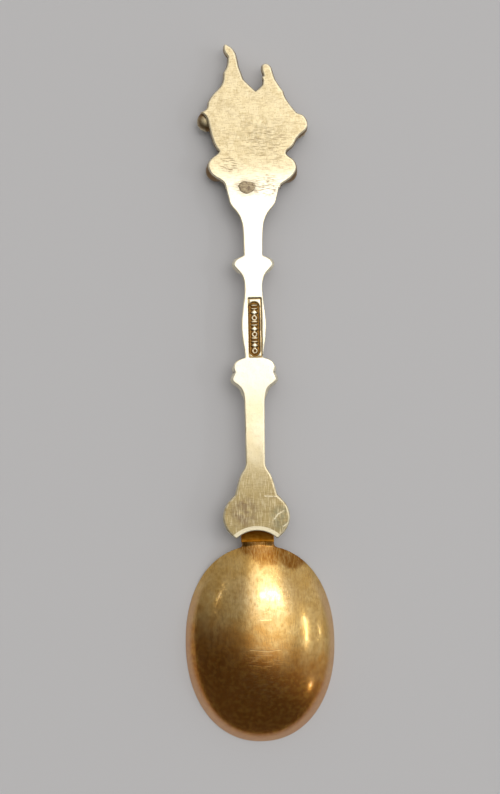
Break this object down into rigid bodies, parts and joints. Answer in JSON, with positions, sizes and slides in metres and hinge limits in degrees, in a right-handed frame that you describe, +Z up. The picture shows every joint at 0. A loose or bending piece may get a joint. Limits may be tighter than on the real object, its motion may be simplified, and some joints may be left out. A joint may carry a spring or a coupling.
{
  "type": "souvenir spoon",
  "caption": "Gilt souvenir spoon lying face down, with an oval bowl, a two-knop stem with a root pad, and a finial shaped as a towered hall on scrolls.",
  "frame": {"origin": "on the table, under the middle of the spoon's box, with the spoon lying face down", "axes": "+Y from the bowl's tip to the finial's tall tower, +X to the right seen from above the spoon's back, +Z up out of the spoon's back"},
  "size_m": [0.0256, 0.1194, 0.0062],
  "materials": {
    "gilt_bowl": "polished deep gold gilding with fine scratches and amber tarnish at the neck",
    "gilt_stem": "pale satin gilding, stained and scratched on the root pad",
    "gilt_finial": "pale satin gilding with filing marks, darker in the relief",
    "bowl_joint_solder": "amber tarnished solder fillet",
    "finial_joint_solder": "grey-brown solder, filed flush"
  },
  "bodies": {
    "root": {"bowl": "gilt_bowl", "handle_stem": "gilt_stem", "finial": "gilt_finial", "bowl_solder": "bowl_joint_solder", "finial_solder": "finial_joint_solder"}
  },
  "joints": []
}
